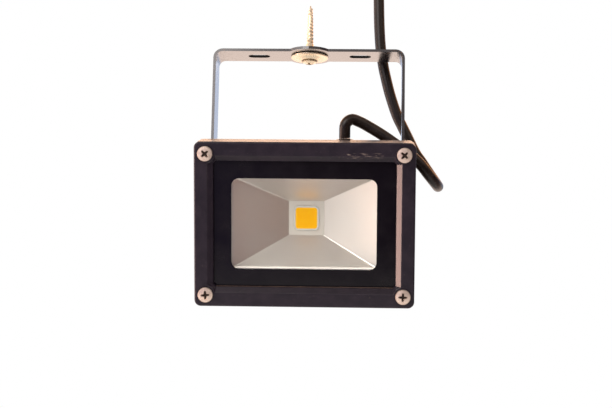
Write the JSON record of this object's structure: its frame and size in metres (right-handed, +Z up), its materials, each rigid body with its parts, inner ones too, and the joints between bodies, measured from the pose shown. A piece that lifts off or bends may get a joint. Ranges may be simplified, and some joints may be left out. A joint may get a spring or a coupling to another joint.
{
  "type": "led floodlight on a bracket",
  "caption": "Small flat LED floodlight with a finned die-cast housing, tilting in a thin U-shaped steel bracket that hangs from a central screw, with a short cable.",
  "frame": {"origin": "centre of the bracket's top face, on the axis of its fixing screw", "axes": "+Z up along the fixing screw, +X to the lamp's right as its face is looked at, -Y the way the lamp faces, tilted down from there"},
  "size_m": [0.1319, 0.0727, 0.2362],
  "materials": {
    "black_casting": "black powder coat on die-cast aluminium, satin",
    "black_steel": "glossy black paint on sheet steel, specks of rust near the bends",
    "plated_steel": "bright zinc or nickel plate",
    "brass": "yellow passivated or brass, worn bright",
    "tinned_copper": "tin plated",
    "reflector_aluminium": "anodised, satin mirror",
    "glass": "clear toughened glass with a black printed border",
    "silicone": "grey silicone rubber",
    "white_plate": "white solder mask on an aluminium board",
    "phosphor": "yellow phosphor in clear gel",
    "thermal_pad": "matt grey-blue",
    "driver_plastic": "matt off-white",
    "resin": "black potting resin",
    "gland_plastic": "black nylon",
    "cable_rubber": "black rubber sheath, slight sheen",
    "core_brown": "brown insulation",
    "core_blue": "blue insulation",
    "core_earth": "green and yellow insulation",
    "core_red": "red insulation",
    "core_black": "black insulation"
  },
  "bodies": {
    "beam_fixing": {"fixing_screw": "brass", "fixing_washer": "brass"},
    "bracket": {"bracket": "black_steel", "core_brown": "core_brown", "core_blue": "core_blue", "core_earth": "core_earth", "ferrule_brown": "tinned_copper", "ferrule_blue": "tinned_copper", "ferrule_earth": "tinned_copper"},
    "lamp": {"front_frame": "black_casting", "frame_screw_1": "plated_steel", "frame_screw_2": "plated_steel", "frame_screw_3": "plated_steel", "frame_screw_4": "plated_steel", "glass": "glass", "glass_gasket": "silicone", "housing": "black_casting", "reflector": "reflector_aluminium", "led_base": "white_plate", "thermal_pad": "thermal_pad", "led_emitter": "phosphor", "led_dam": "white_plate", "led_screw_left": "plated_steel", "led_screw_right": "plated_steel", "driver_case": "driver_plastic", "driver_potting": "resin", "driver_screw_top": "plated_steel", "driver_screw_bottom": "plated_steel", "earth_terminal": "tinned_copper", "earth_screw": "brass", "lead_live": "core_brown", "lead_neutral": "core_blue", "lead_earth": "core_earth", "led_lead_plus": "core_red", "led_lead_minus": "core_black", "gland_body": "gland_plastic", "gland_washer": "silicone", "gland_seal": "silicone", "gland_nut": "gland_plastic", "cable_entry": "cable_rubber", "cable": "cable_rubber", "pivot_bolt_left": "plated_steel", "pivot_bolt_right": "plated_steel", "pivot_washer_left": "plated_steel", "pivot_washer_right": "plated_steel", "pivot_spring_washer_left": "plated_steel", "pivot_spring_washer_right": "plated_steel"}
  },
  "joints": [
    {"name": "pan", "type": "hinge", "parent": "beam_fixing", "child": "bracket", "pos_m": [0, 0, 0], "axis": [0, 0, 1], "range_deg": [-90, 90]},
    {"name": "tilt", "type": "hinge", "parent": "bracket", "child": "lamp", "pos_m": [0, 0, -0.0908], "axis": [1, 0, 0], "range_deg": [-22, 71], "deforming": ["cable"]}
  ]
}
